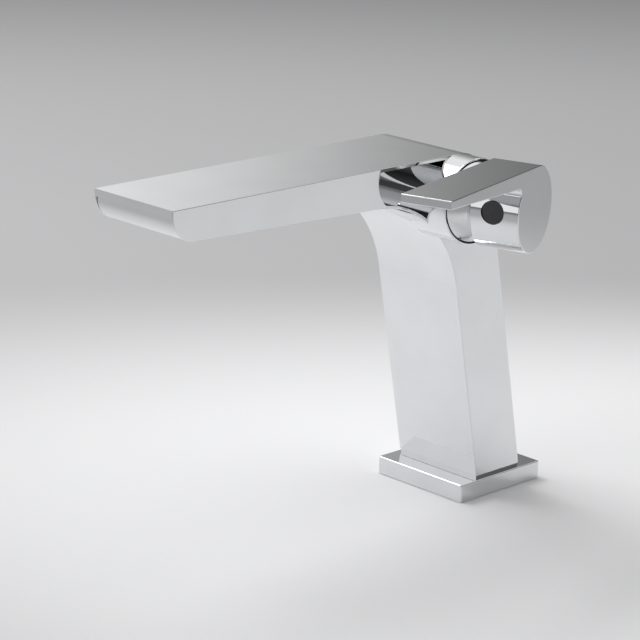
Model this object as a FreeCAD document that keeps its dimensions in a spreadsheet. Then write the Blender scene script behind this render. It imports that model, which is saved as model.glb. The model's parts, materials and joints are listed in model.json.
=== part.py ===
import FreeCAD, Part
import math
import os
from types import SimpleNamespace

import Sketcher
from FreeCAD import Vector

# Waterfall basin faucet with a lever at its side, in millimetres.
# Z is up and Z = 0 is the deck. The spout points to -Y and the lever sits on the +X side.
# The origin is the middle of the base plate's footprint.

DIMENSIONS = {
    # base plate, its gasket and the collar under the column
    "base_side": 50.0,
    "base_height": 7.8,
    "base_wall": 3.5,
    "base_web": 2.6,
    "base_corner": 0.8,
    "base_edge": 0.5,
    "passage_margin": 2.3,
    "passage_gap": 0.2,
    "gasket_gap": 0.1,
    "collar_height": 1.5,
    "collar_inset": 0.4,
    # column and spout casting, seen from the side
    "body_width": 46.2,
    "column_front": 13.3,
    "column_rear": 13.8,
    "column_lean": 0.194,
    "spout_reach": 186.5,
    "spout_top": 154.1,
    "tip_depth": 13.1,
    "underside_fall": 0.032,
    "throat_radius": 50.0,
    "back_radius": 22.0,
    "tip_radius": 11.0,
    "body_edge": 0.35,
    # recess beside the cartridge housing
    "recess_depth": 9.0,
    "recess_roof": 1.5,
    "recess_rim": 1.2,
    "recess_end_radius": 12.4,
    "recess_reach": 33.0,
    "recess_end_drop": 6.1,
    # cartridge housing
    "axis_y": 33.0,
    "housing_radius": 18.2,
    "housing_stand": 10.9,
    "housing_depth": 29.0,
    "housing_lip": 0.4,
    "mouth_wall": 0.7,
    "mouth_depth": 4.0,
    "cartridge_gap": 0.2,
    "nut_seat_depth": 14.0,
    # waterways
    "wall": 3.2,
    "partition_low": 5.5,
    "partition_high": 1.5,
    "chamber_floor": 24.3,
    "chamber_drop": 27.9,
    "port_radius": 2.4,
    "port_circle": 6.2,
    "cold_angle": -75.0,
    "channel_width": 5.0,
    "riser_offset": 2.0,
    "riser_mouth": 8.0,
    "waterway_wall": 6.1,
    "waterway_cover": 3.1,
    "waterway_height": 7.0,
    "waterway_root": 54.0,
    "inlet_x": 8.5,
    "inlet_y": 5.0,
    "inlet_radius": 4.5,
    "inlet_depth": 12.0,
    "inlet_drill": 3.5,
    "hose_hole": 6.2,
    # fixing under the deck
    "stud_y": 7.2,
    "stud_radius": 3.95,
    "stud_fit": 0.05,
    "stud_clearance": 0.35,
    "stud_depth": 12.5,
    "stud_below": 46.0,
    "stud_slot_width": 1.2,
    "stud_slot_depth": 2.0,
    "deck_thickness": 20.0,
    "horseshoe_radius": 21.0,
    "horseshoe_slot_half": 15.0,
    "horseshoe_slot_y": 1.2,
    "clamp_gasket_height": 3.0,
    "clamp_washer_height": 2.0,
    "nut_flats": 13.0,
    "nut_height": 8.0,
    # outlet in the spout's tip
    "cheek": 1.0,
    "tip_strip": 3.0,
    "outlet_length": 26.0,
    "frame_gap": 0.1,
    "frame_inset": 0.6,
    "frame_rise": 0.4,
    "frame_radius": 9.4,
    "frame_wall": 3.5,
    "chamber_front": 6.5,
    "frame_roof": 1.5,
    "frame_chamber_height": 5.0,
    "gasket_length": 1.5,
    "nozzle_front": 8.4,
    "nozzle_depth": 8.8,
    "nozzle_side": 0.6,
    "nozzle_gap": 0.1,
    "nozzle_inset": 0.6,
    "nozzle_height": 1.4,
    "mesh_height": 0.6,
    "mesh_gap": 0.05,
    "nozzle_ledge": 1.6,
    "nozzle_hole": 0.55,
    "nozzle_pitch_x": 2.45,
    "nozzle_pitch_y": 2.4,
    "nozzle_columns": 13,
    "mesh_slot": 1.7,
    "frame_screw_radius": 0.8,
    "frame_screw_head": 1.5,
    "frame_screw_head_height": 1.1,
    "frame_screw_grip": 1.3,
    "frame_screw_y": 20.5,
    # cartridge, measured along its axis
    "pivot_depth": 9.0,
    "base_length": 4.0,
    "base_radius": 12.5,
    "seal_groove_depth": 1.4,
    "seal_groove_start": 1.0,
    "seal_groove_width": 1.6,
    "port_seal_bore": 3.7,
    "port_seal_depth": 1.4,
    "port_seal_wire": 0.68,
    "disc_height": 3.0,
    "disc_film": 0.02,
    "disc_gap": 0.2,
    "disc_sweep_gap": 0.3,
    "moving_disc_port": 4.6,
    "moving_disc_port_depth": 1.5,
    "carrier_height": 4.4,
    "carrier_floor": 0.4,
    "socket_fit": 0.05,
    "flange_gap": 0.2,
    "flange_height": 1.4,
    "flange_clearance": 0.3,
    "rotor_radius": 9.25,
    "rotor_front": 8.2,
    "rotor_slot_gap": 0.2,
    "rotor_slot_travel": 3.5,
    "shell_wall": 1.1,
    "rotor_fit": 0.05,
    "shell_flange_gap": 0.2,
    "shell_flange_height": 2.5,
    "shell_neck_wall": 1.8,
    "shell_recess": 2.0,
    "stop_height": 1.6,
    "stop_gap": 0.3,
    "stop_notch": 3.0,
    "nut_neck_gap": 0.2,
    "nut_outer": 14.5,
    "nut_thread_gap": 0.1,
    "nut_recess": 0.5,
    "nut_collar_radius": 13.3,
    "nut_collar_height": 3.5,
    # dome between the housing and the lever's barrel
    "dome_sweep_gap": 1.4,
    "dome_wall": 1.6,
    "dome_opening": 9.8,
    "dome_fit": 0.1,
    "dome_seal_width": 0.65,
    "dome_seal_height": 1.1,
    "dome_seal_recess": 0.3,
    # lever, measured from the pivot along the barrel
    "rest_tilt": 20.0,
    "rest_turn": 2.8,
    "pin_radius": 1.5,
    "pin_half_length": 8.6,
    "pin_fit": 0.02,
    "pin_clearance": 0.05,
    "ball_arm": 7.3,
    "ball_radius": 2.2,
    "stem_neck": 1.5,
    "stem_shoulder": 4.3,
    "stem_radius": 3.6,
    "stem_square_start": 12.0,
    "stem_square": 5.6,
    "stem_end": 28.2,
    "stem_gap": 0.05,
    "handle_start": 12.3,
    "handle_end": 33.6,
    "handle_sweep_gap": 0.2,
    "lever_sink": 0.3,
    "lever_nose": 88.0,
    "lever_nose_thickness": 3.4,
    "lever_root_thickness": 6.9,
    "lever_throat": 3.0,
    "lever_edge": 0.35,
    "grub_x": 22.2,
    "grub_radius": 1.95,
    "grub_fit": 0.05,
    "grub_length": 8.0,
    "grub_socket": 1.1,
    "grub_socket_depth": 3.0,
    "plug_radius": 4.9,
    "plug_gap": 0.1,
    "plug_depth": 2.7,
    "plug_height": 2.1,
    "plug_peg_gap": 0.1,
    "plug_peg_length": 2.0,
}

doc = FreeCAD.newDocument("basin_faucet")
sheet = doc.addObject("Spreadsheet::Sheet", "dims")


class Size:
    """A length or number that knows its value and the spreadsheet formula it comes from."""

    def __init__(self, text, value):
        self.text = text
        self.value = float(value)

    def __add__(self, other):
        other = size(other)
        return Size(f"({self.text} + {other.text})", self.value + other.value)

    def __sub__(self, other):
        other = size(other)
        return Size(f"({self.text} - {other.text})", self.value - other.value)

    def __mul__(self, other):
        other = size(other)
        return Size(f"({self.text} * {other.text})", self.value * other.value)

    def __truediv__(self, other):
        other = size(other)
        return Size(f"({self.text} / {other.text})", self.value / other.value)

    def __neg__(self):
        return Size(f"(0 - {self.text})", -self.value)

    def __radd__(self, other):
        return size(other) + self

    def __rsub__(self, other):
        return size(other) - self

    def __rmul__(self, other):
        return size(other) * self


def size(number):
    return number if isinstance(number, Size) else Size(repr(float(number)), number)


def root(number):
    number = size(number)
    return Size(f"sqrt({number.text})", math.sqrt(number.value))


def cosine(degrees):
    degrees = size(degrees)
    return Size(f"cos({degrees.text} * 1 deg)", math.cos(math.radians(degrees.value)))


def sine(degrees):
    degrees = size(degrees)
    return Size(f"sin({degrees.text} * 1 deg)", math.sin(math.radians(degrees.value)))


def fill_sheet():
    sizes = {}
    for row, (alias, number) in enumerate(DIMENSIONS.items(), start=1):
        sheet.set(f"A{row}", alias.replace("_", " "))
        sheet.set(f"B{row}", str(number))
        sheet.setAlias(f"B{row}", alias)
        sizes[alias] = Size(f"dims.{alias}", number)
    doc.recompute()
    return SimpleNamespace(**sizes)


d = fill_sheet()

# ---------------------------------------------------------------- helpers


def bind(item, name, number):
    item.setExpression(name, size(number).text)


def new_body(label, place=(0, 0, 0)):
    body = doc.addObject("PartDesign::Body", label)
    body.Label = label
    put(body, place)
    return body


def about(axis, degrees):
    """The formula of a turn about one of the three main axes."""
    x, y, z = (int(axis == letter) for letter in "xyz")
    return f"rotation(vector({x}; {y}; {z}); {size(degrees).text} * 1 deg)"


def put(item, place):
    """Moves an item to (x, y, z), and turns it where a fourth entry gives the turn's formula."""
    x, y, z = (size(number).text for number in place[:3])
    turn = place[3] if len(place) > 3 else about("z", 0)
    item.setExpression("Placement", f"placement(vector({x}; {y}; {z}); {turn})")


def new_sketch(body, role, name, offset=0.0):
    sketch = body.newObject("Sketcher::SketchObject", name)
    plane = [item for item in body.Origin.OriginFeatures if item.Role == role][0]
    sketch.AttachmentSupport = [(plane, "")]
    sketch.MapMode = "FlatFace"
    bind(sketch, "AttachmentOffset.Base.z", offset)
    return sketch


def flat(point):
    return Vector(size(point[0]).value, size(point[1]).value, 0)


def outline(sketch, points, arcs=None):
    """Closes a loop through the points. arcs maps a side's number to (centre x, centre y, turn).
    A third item in a point names the axes that it is held along, where arcs give the others."""
    arcs = arcs or {}
    first = sketch.GeometryCount
    sides = []
    ends = []
    for number, start in enumerate(points):
        here, there = flat(start), flat(points[(number + 1) % len(points)])
        if number not in arcs:
            sides.append(Part.LineSegment(here, there))
            ends.append((1, 2))
            continue
        x, y, turn = arcs[number]
        centre = flat((x, y))
        angles = [math.atan2(p.y - centre.y, p.x - centre.x) for p in (here, there)]
        ends.append((1, 2) if turn > 0 else (2, 1))
        low, high = angles if turn > 0 else reversed(angles)
        circle = Part.Circle(centre, Vector(0, 0, 1), (here - centre).Length)
        sides.append(Part.ArcOfCircle(circle, low, high if high > low else high + 2 * math.pi))
    sketch.addGeometry(sides, False)
    rules = []
    formulas = []

    def hold(kind, side, end, number):
        rules.append(Sketcher.Constraint(kind, -1, 1, side, end, size(number).value))
        formulas.append((sketch.ConstraintCount + len(rules) - 1, number))

    for number in range(len(points)):
        after = (number + 1) % len(points)
        rules.append(Sketcher.Constraint("Coincident", first + number, ends[number][1],
                                         first + after, ends[after][0]))
    for number, point in enumerate(points):
        held = point[2] if len(point) > 2 else "xy"
        if "x" in held:
            hold("DistanceX", first + number, ends[number][0], point[0])
        if "y" in held:
            hold("DistanceY", first + number, ends[number][0], point[1])
    for number, (x, y, turn) in arcs.items():
        hold("DistanceX", first + number, 3, x)
        hold("DistanceY", first + number, 3, y)
    sketch.addConstraint(rules)
    for number, formula in formulas:
        bind(sketch, f"Constraints[{number}]", formula)


def rectangle(sketch, low_x, high_x, low_y, high_y):
    outline(sketch, [(low_x, low_y), (high_x, low_y), (high_x, high_y), (low_x, high_y)])


def circle(sketch, x, y, radius):
    number = sketch.addGeometry(Part.Circle(flat((x, y)), Vector(0, 0, 1), size(radius).value), False)
    for kind, value in (("DistanceX", x), ("DistanceY", y)):
        rule = sketch.addConstraint(Sketcher.Constraint(kind, -1, 1, number, 3, size(value).value))
        bind(sketch, f"Constraints[{rule}]", value)
    rule = sketch.addConstraint(Sketcher.Constraint("Radius", number, size(radius).value))
    bind(sketch, f"Constraints[{rule}]", radius)


def feature(body, kind, name, sketch, length, along):
    """A pad or a pocket from the sketch. along is 1 on the plane's own normal and -1 against it."""
    before = body.Shape.Volume if body.Tip else 0.0
    item = body.newObject(f"PartDesign::{kind}", name)
    item.Profile = sketch
    bind(item, "Length", length)
    item.Reversed = (along < 0) if kind == "Pad" else (along > 0)
    doc.recompute()
    after = body.Shape.Volume
    if (after <= before) if kind == "Pad" else (after >= before):
        raise ValueError(f"{body.Label}: {name} changed the volume from {before:.3f} to {after:.3f}")
    return item


def pad(body, sketch, name, length, along=1):
    return feature(body, "Pad", name, sketch, length, along)


def pocket(body, sketch, name, length, along=-1):
    return feature(body, "Pocket", name, sketch, length, along)


def spin(body, kind, name, sketch):
    """A full turn of the sketch about its own horizontal axis."""
    before = body.Shape.Volume if body.Tip else 0.0
    item = body.newObject(f"PartDesign::{kind}", name)
    item.Profile = sketch
    item.ReferenceAxis = (sketch, ["H_Axis"])
    item.Angle = 360
    doc.recompute()
    after = body.Shape.Volume
    if (after <= before) if kind == "Revolution" else (after >= before):
        raise ValueError(f"{body.Label}: {name} changed the volume from {before:.3f} to {after:.3f}")
    return item


def edges_where(body, test):
    """Names of the body's present edges whose two ends or middle satisfy the test."""
    names = []
    for number, edge in enumerate(body.Tip.Shape.Edges, start=1):
        if test(edge):
            names.append(f"Edge{number}")
    if not names:
        raise ValueError(f"{body.Label}: no edge to round")
    return names


def near(first, second):
    return abs(first - size(second).value) < 0.02


def all_at(edge, **places):
    """True if both ends and the middle of the edge have these coordinates."""
    middle = edge.valueAt((edge.FirstParameter + edge.LastParameter) / 2)
    points = [vertex.Point for vertex in edge.Vertexes] + [middle]
    return all(near(getattr(point, axis), number) for point in points for axis, number in places.items())


def fillet(body, name, radius, test):
    base = body.Tip
    names = edges_where(body, test)
    item = body.newObject("PartDesign::Fillet", name)
    item.Base = (base, names)
    bind(item, "Radius", radius)
    doc.recompute()
    if "Invalid" in item.State:
        raise ValueError(f"{body.Label}: {name} can't be rounded")
    return item


def turned(label, rings, place):
    """A body turned about X from (x, radius) points."""
    body = new_body(label, place)
    sketch = new_sketch(body, "XY_Plane", f"{label}_profile")
    outline(sketch, rings)
    spin(body, "Revolution", f"{label}_turned", sketch)
    return body


def tube(low_x, high_x, inner, outer):
    return [(low_x, inner), (high_x, inner), (high_x, outer), (low_x, outer)]


def primitive(kind, name, place, **lengths):
    item = doc.addObject(f"Part::{kind}", name)
    for key, number in lengths.items():
        bind(item, key, number)
    put(item, place)
    return item


def join(kind, label, parts):
    """A cut takes the second part from the first; a fuse or a compound takes any number."""
    item = doc.addObject(f"Part::{kind}", label)
    if kind == "Cut":
        item.Base, item.Tool = parts
    elif kind == "Compound":
        item.Links = parts
    else:
        item.Shapes = parts
    item.Label = label
    return item


# ---------------------------------------------------------------- shared places

body_half = d.body_width / 2
housing_end = body_half + d.housing_stand
seat_x = housing_end - d.housing_depth
nut_seat_x = housing_end - d.nut_seat_depth
pivot_x = housing_end - d.pivot_depth
mouth_floor = housing_end - d.mouth_depth
shell_front = housing_end - d.shell_recess
nut_front = mouth_floor - d.nut_recess
nut_collar_front = nut_front + d.nut_collar_height

cartridge_bore = d.base_radius + d.cartridge_gap
seal_groove_floor = d.base_radius - d.seal_groove_depth
shell_bore = d.base_radius - d.shell_wall
fixed_disc_radius = shell_bore - d.disc_gap
flange_radius = shell_bore - d.flange_clearance
shell_neck_bore = d.rotor_radius + d.rotor_fit
shell_neck_radius = shell_neck_bore + d.shell_neck_wall
shell_flange_radius = d.nut_outer - d.shell_flange_gap
stop_bore = shell_neck_bore + d.stop_gap
nut_inner = shell_neck_radius + d.nut_neck_gap
nut_bore = d.nut_outer + d.nut_thread_gap
dome_bore = d.nut_collar_radius + d.dome_fit
mouth_radius = d.housing_radius - d.mouth_wall
dome_skirt = mouth_radius - d.dome_seal_width
barrel_radius = d.housing_radius
handle_sweep = root(d.pivot_depth * d.pivot_depth + d.housing_radius * d.housing_radius) + d.handle_sweep_gap
dome_radius = handle_sweep - d.dome_sweep_gap
lever_top = barrel_radius - d.lever_sink
plug_seat = barrel_radius - d.plug_depth
socket_radius = d.ball_radius + d.socket_fit
rotor_slot_half_height = d.stem_radius + d.rotor_slot_gap
rotor_slot_half_length = d.stem_radius + d.rotor_slot_travel
grub_bore = d.grub_radius + d.grub_fit
plug_bore = d.plug_radius + d.plug_gap
plug_peg_radius = grub_bore - d.plug_peg_gap
stud_bore = d.stud_radius + d.stud_fit
stud_clear = d.stud_radius + d.stud_clearance

axis_z = d.spout_top - d.housing_radius
on_axis = (0, -d.axis_y, axis_z)
as_rested = about("x", -d.rest_turn)
at_pivot = (pivot_x, -d.axis_y, axis_z, as_rested)
on_lever = (pivot_x, -d.axis_y, axis_z, f"{as_rested} * {about('z', d.rest_tilt)}")
foot_z = d.base_height + d.collar_height
passage_half_width = d.inlet_x + d.hose_hole + d.passage_margin
passage_half_depth = d.stud_y + stud_bore + d.passage_gap
chamber_roof = axis_z - d.chamber_drop
recess_end_y = d.axis_y + d.recess_reach
recess_end_z = d.spout_top - d.recess_end_drop
waterway_half = body_half - d.waterway_wall
waterway_high = d.spout_top - d.waterway_cover
waterway_low = waterway_high - d.waterway_height
outlet_rear = -(d.spout_reach - d.outlet_length)
strip_z = d.spout_top - d.tip_strip
frame_rear = outlet_rear - d.gasket_length
frame_half = body_half - d.cheek - d.frame_gap
frame_chamber_high = strip_z - d.frame_roof
frame_chamber_low = frame_chamber_high - d.frame_chamber_height
nozzle_half = frame_half - d.frame_wall - d.nozzle_side
nozzle_low = d.spout_top - d.tip_depth + d.nozzle_inset
port_angles = {"cold": d.cold_angle, "hot": d.cold_angle + 120, "outlet": d.cold_angle + 240}


def front_at(z):
    return -(d.column_front + d.column_lean * (z - d.base_height))


def rear_at(z):
    return d.column_rear - d.column_lean * (z - d.base_height)


def underside_at(y):
    return d.spout_top - d.tip_depth - d.underside_fall * (y + d.spout_reach)


def throat_corner():
    """Where the column's front would meet the spout's underside with no curve between them."""
    drop = d.underside_fall * (d.spout_reach - d.column_front + d.column_lean * d.base_height)
    z = (d.spout_top - d.tip_depth - drop) / (1 - d.underside_fall * d.column_lean)
    return front_at(z), z


def throat_centre():
    """Centre of the large concave curve, one radius away from both of the lines it joins."""
    below = d.throat_radius * root(1 + d.underside_fall * d.underside_fall)
    ahead = d.throat_radius * root(1 + d.column_lean * d.column_lean)
    drop = d.underside_fall * (d.spout_reach - d.column_front - ahead + d.column_lean * d.base_height)
    z = (d.spout_top - d.tip_depth - below - drop) / (1 - d.underside_fall * d.column_lean)
    return front_at(z) - ahead, z


def port_at(name):
    angle = port_angles[name]
    return d.port_circle * cosine(angle), d.port_circle * sine(angle)


# ---------------------------------------------------------------- spout body


def carve(body, name, near_x, width, points, arcs=None):
    """Cuts an outline seen from the side, from the plane x = near_x for a width towards -X."""
    sketch = new_sketch(body, "YZ_Plane", f"{name}_sketch", near_x)
    outline(sketch, points, arcs)
    return pocket(body, sketch, name, width)


def bore(body, name, role, offset, x, y, radius, length, along=-1):
    sketch = new_sketch(body, role, f"{name}_sketch", offset)
    circle(sketch, x, y, radius)
    return pocket(body, sketch, name, length, along)


def make_spout_body():
    body = new_body("spout_body")
    corner_y, corner_z = throat_corner()
    side = new_sketch(body, "YZ_Plane", "body_side", -body_half)
    outline(side, [(-d.spout_reach, d.spout_top), (-d.spout_reach, d.spout_top - d.tip_depth),
                   (corner_y, corner_z), (front_at(foot_z), foot_z), (rear_at(foot_z), foot_z),
                   (rear_at(d.spout_top), d.spout_top)])
    pad(body, side, "body_block", d.body_width)
    fillet(body, "throat", d.throat_radius, lambda e: all_at(e, y=corner_y, z=corner_z))
    fillet(body, "back_round", d.back_radius, lambda e: all_at(e, y=rear_at(d.spout_top), z=d.spout_top))
    fillet(body, "tip_round", d.tip_radius,
           lambda e: all_at(e, y=-d.spout_reach, z=d.spout_top - d.tip_depth))
    fillet(body, "side_edges", d.body_edge,
           lambda e: (all_at(e, x=body_half) or all_at(e, x=-body_half)) and not all_at(e, z=foot_z))
    make_recess(body)
    make_housing(body)
    make_waterways(body)
    make_tip(body)
    make_foot(body)
    return body


def make_recess(body):
    """The hollow in the near side, between a thin roof and a thin rim, in front of the housing."""
    roof = d.spout_top - d.recess_roof
    end_y, end_z, end_r = -recess_end_y, recess_end_z, d.recess_end_radius
    rim_y, rim_z = throat_centre()
    rim_r = d.throat_radius + d.recess_rim
    front = end_y - root(end_r * end_r - (roof - end_z) * (roof - end_z))
    low_y = end_y - end_r * 0.62
    low_z = rim_z + root(rim_r * rim_r - (low_y - rim_y) * (low_y - rim_y))
    start_y = end_y - root(end_r * end_r - (low_z - end_z) * (low_z - end_z))
    start_z = rim_z + root(rim_r * rim_r - (start_y - rim_y) * (start_y - rim_y))
    inner_y = rim_y + rim_r * cosine(45)
    inner_z = rim_z + rim_r * sine(45)
    carve(body, "recess", body_half + 1, d.recess_depth + 1,
          [(-d.axis_y, roof), (front, roof), (start_y, start_z, ""), (inner_y, inner_z),
           (-d.axis_y, axis_z)],
          {1: (end_y, end_z, 1), 2: (rim_y, rim_z, -1)})


def make_housing(body):
    sketch = new_sketch(body, "YZ_Plane", "housing_sketch", body_half - d.recess_depth - 1)
    circle(sketch, -d.axis_y, axis_z, d.housing_radius)
    pad(body, sketch, "housing", housing_end - body_half + d.recess_depth + 1)
    bore(body, "cartridge_hole", "YZ_Plane", housing_end, -d.axis_y, axis_z,
         cartridge_bore, housing_end - seat_x)
    bore(body, "nut_thread", "YZ_Plane", housing_end, -d.axis_y, axis_z,
         nut_bore, housing_end - nut_seat_x)
    bore(body, "dome_mouth", "YZ_Plane", housing_end, -d.axis_y, axis_z,
         mouth_radius, housing_end - mouth_floor)
    fillet(body, "housing_lip", d.housing_lip,
           lambda e: all_at(e, x=housing_end) and near(e.Curve.Radius, d.housing_radius))


def make_waterways(body):
    for name, depth in (
            ("cold", seat_x + d.partition_high),
            ("hot", seat_x + d.partition_low + d.riser_offset + d.channel_width / 2),
            ("outlet", seat_x + d.channel_width)):
        y, z = port_at(name)
        bore(body, f"{name}_port", "YZ_Plane", seat_x, y - d.axis_y, z + axis_z, d.port_radius, depth)
    half = d.channel_width / 2
    low, high = d.chamber_floor, chamber_roof
    chamber = [(front_at(low) + d.wall, low), (rear_at(low) - d.wall, low),
               (rear_at(high) - d.wall, high), (front_at(high) + d.wall, high)]
    wide = body_half - d.wall
    carve(body, "cold_chamber", wide, wide + d.partition_high, chamber)
    carve(body, "hot_chamber", -d.partition_low, wide - d.partition_low, chamber)
    middle = (front_at(high) + rear_at(high)) / 2
    for name, near_x in (("cold", seat_x - d.riser_offset), ("hot", -d.partition_low - d.riser_offset)):
        y, z = port_at(name)
        y, z = y - d.axis_y, z + axis_z + half * 0.6
        carve(body, f"{name}_riser", near_x, d.channel_width - 0.5,
              [(y - half, z), (y + half, z), (middle + half, high - 1), (middle - half, high - 1)])
    y, z = port_at("outlet")
    y, z = y - d.axis_y, z + axis_z - half
    carve(body, "outlet_riser", 0, d.channel_width,
          [(y + half, z), (y - half, z), (-d.waterway_root - d.riser_mouth, waterway_low + 0.5),
           (-d.waterway_root - d.riser_mouth, waterway_high - 0.5), (-d.waterway_root + d.riser_offset, waterway_high - 0.5)])
    split = -(recess_end_y + d.recess_end_radius + d.wall)
    inner = body_half - d.recess_depth - d.wall
    for name, near_x, width, low_y, high_y in (
            ("spout_waterway", waterway_half, 2 * waterway_half, outlet_rear - 1, split),
            ("root_waterway", inner, inner + waterway_half, split - 1, -d.waterway_root)):
        carve(body, name, near_x, width,
              [(low_y, waterway_low), (high_y, waterway_low), (high_y, waterway_high),
               (low_y, waterway_high)])


def make_tip(body):
    """The space for the outlet frame, between the cheeks and under the front strip."""
    inner = body_half - d.cheek
    low = d.spout_top - d.tip_depth - 5
    carve(body, "outlet_space", inner, 2 * inner,
          [(-d.spout_reach - 1, low), (outlet_rear, low), (outlet_rear, strip_z), (-d.spout_reach - 1, strip_z)])
    for side in (-1, 1):
        bore(body, f"tip_screw_hole_{side + 1}", "XY_Plane", strip_z, side * screw_x(), screw_y(),
             d.frame_screw_radius + 0.05, d.frame_screw_grip + 0.2, 1)


def screw_x():
    return frame_half - d.frame_wall / 2


def screw_y():
    return -(d.spout_reach - d.frame_screw_y)


def make_foot(body):
    bore(body, "stud_thread", "XY_Plane", foot_z, 0, -d.stud_y, stud_bore, d.stud_depth, 1)
    for name, side in (("cold", 1), ("hot", -1)):
        bore(body, f"{name}_inlet", "XY_Plane", foot_z, side * d.inlet_x, d.inlet_y,
             d.inlet_radius, d.inlet_depth, 1)
        bore(body, f"{name}_drilling", "XY_Plane", foot_z, side * d.inlet_x, d.inlet_y,
             d.inlet_drill, d.chamber_floor - foot_z + 1, 1)


# ---------------------------------------------------------------- outlet


def make_outlet_frame():
    body = new_body("outlet_frame")
    half = frame_half
    front = -(d.spout_reach - d.frame_inset)
    low = underside_at(front) + d.frame_rise
    side = new_sketch(body, "YZ_Plane", "frame_side", -half)
    outline(side, [(front, strip_z), (front, low), (frame_rear, underside_at(frame_rear) + d.frame_rise),
                   (frame_rear, strip_z)])
    pad(body, side, "frame_block", 2 * half)
    fillet(body, "frame_round", d.frame_radius, lambda e: all_at(e, y=front, z=low))
    inner = half - d.frame_wall
    carve(body, "frame_chamber", inner, 2 * inner,
          [(-(d.spout_reach - d.chamber_front), frame_chamber_low), (frame_rear + 1, frame_chamber_low),
           (frame_rear + 1, frame_chamber_high), (-(d.spout_reach - d.chamber_front), frame_chamber_high)])
    low_y, high_y = nozzle_span()
    shelf = nozzle_low + d.nozzle_height + d.mesh_height + 2 * d.mesh_gap
    seat = new_sketch(body, "XY_Plane", "nozzle_seat_sketch", shelf)
    rectangle(seat, -nozzle_half, nozzle_half, low_y, high_y)
    pocket(body, seat, "nozzle_seat", 5)
    slot = new_sketch(body, "XY_Plane", "nozzle_slot_sketch", frame_chamber_low + 0.1)
    rectangle(slot, -nozzle_half + d.nozzle_ledge, nozzle_half - d.nozzle_ledge,
              low_y + d.nozzle_ledge, high_y - d.nozzle_ledge)
    pocket(body, slot, "nozzle_slot", frame_chamber_low - shelf + 0.2)
    for side_number in (-1, 1):
        x = side_number * screw_x()
        bore(body, f"frame_screw_hole_{side_number + 1}", "XY_Plane", strip_z, x, screw_y(),
             d.frame_screw_radius + 0.05, d.tip_depth)
        bore(body, f"frame_screw_sink_{side_number + 1}", "XY_Plane", screw_seat(), x, screw_y(),
             d.frame_screw_head + 0.05, 5)
    return body


def nozzle_span():
    low_y = -(d.spout_reach - d.nozzle_front)
    return low_y, low_y + d.nozzle_depth


def screw_seat():
    return underside_at(screw_y()) + d.frame_rise + d.frame_screw_head_height + 0.3


def nozzle_blank(label, low_z, height):
    body = new_body(label)
    low_y, high_y = nozzle_span()
    sketch = new_sketch(body, "XY_Plane", f"{label}_sketch", low_z)
    rectangle(sketch, -nozzle_half + d.nozzle_gap, nozzle_half - d.nozzle_gap,
              low_y + d.nozzle_gap, high_y - d.nozzle_gap)
    pad(body, sketch, f"{label}_blank", height)
    return body


def repeat_along_x(body, original, pitch, count):
    pattern = body.newObject("PartDesign::LinearPattern", f"{body.Label}_pattern")
    pattern.Originals = [original]
    pattern.Direction = ([item for item in body.Origin.OriginFeatures if item.Role == "X_Axis"][0], [""])
    bind(pattern, "Length", pitch * (count - 1))
    bind(pattern, "Occurrences", count)
    body.Tip = pattern
    doc.recompute()


def make_nozzle_plate():
    body = nozzle_blank("nozzle_plate", nozzle_low, d.nozzle_height)
    low_y, high_y = nozzle_span()
    holes = new_sketch(body, "XY_Plane", "nozzle_hole_row", nozzle_low)
    first_x = -d.nozzle_pitch_x * (d.nozzle_columns - 1) / 2
    for row in (-1, 0, 1):
        circle(holes, first_x, (low_y + high_y) / 2 + row * d.nozzle_pitch_y, d.nozzle_hole)
    row = pocket(body, holes, "nozzle_holes", d.nozzle_height, 1)
    repeat_along_x(body, row, d.nozzle_pitch_x, d.nozzle_columns)
    return body


def make_flow_mesh():
    low_z = nozzle_low + d.nozzle_height + d.mesh_gap
    body = nozzle_blank("flow_mesh", low_z, d.mesh_height)
    low_y, high_y = nozzle_span()
    slots = new_sketch(body, "XY_Plane", "mesh_slot_row", low_z)
    first_x = -d.nozzle_pitch_x * (d.nozzle_columns - 1) / 2
    middle = (low_y + high_y) / 2
    for low, high in ((low_y + d.nozzle_ledge, middle - 0.4), (middle + 0.4, high_y - d.nozzle_ledge)):
        rectangle(slots, first_x - d.mesh_slot / 2, first_x + d.mesh_slot / 2, low, high)
    row = pocket(body, slots, "mesh_slots", d.mesh_height, 1)
    repeat_along_x(body, row, d.nozzle_pitch_x, d.nozzle_columns)
    return body


def make_outlet_gasket():
    half = body_half - d.cheek - 1
    low = waterway_low - 0.8
    outer = primitive("Box", "outlet_gasket_outer", (-half, frame_rear, low),
                      Length=2 * half, Width=d.gasket_length, Height=strip_z - 0.2 - low)
    inner = primitive("Box", "outlet_gasket_inner", (-half + 3, frame_rear - 1, waterway_low + 0.5),
                      Length=2 * half - 6, Width=d.gasket_length + 2,
                      Height=waterway_high - waterway_low - 1.2)
    return join("Cut", "outlet_gasket", [outer, inner])


def make_outlet_screws():
    screws = []
    for side in (-1, 1):
        x = side * screw_x()
        shank = primitive("Cylinder", f"outlet_shank_{side + 1}", (x, screw_y(), screw_seat() - 0.5),
                          Radius=d.frame_screw_radius, Height=strip_z - screw_seat() + 0.5 + d.frame_screw_grip)
        head = primitive("Cylinder", f"outlet_head_{side + 1}",
                         (x, screw_y(), screw_seat() - d.frame_screw_head_height),
                         Radius=d.frame_screw_head, Height=d.frame_screw_head_height)
        slot = primitive("Box", f"outlet_slot_{side + 1}",
                         (x - d.frame_screw_head - 1, screw_y() - 0.25,
                          screw_seat() - d.frame_screw_head_height - 1),
                         Length=2 * d.frame_screw_head + 2, Width=0.5, Height=1.4)
        whole = join("MultiFuse", f"outlet_screw_whole_{side + 1}", [shank, head])
        screws.append(join("Cut", f"outlet_screw_{side + 1}", [whole, slot]))
    return join("Compound", "outlet_screws", screws)


# ---------------------------------------------------------------- base and fixing


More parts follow.
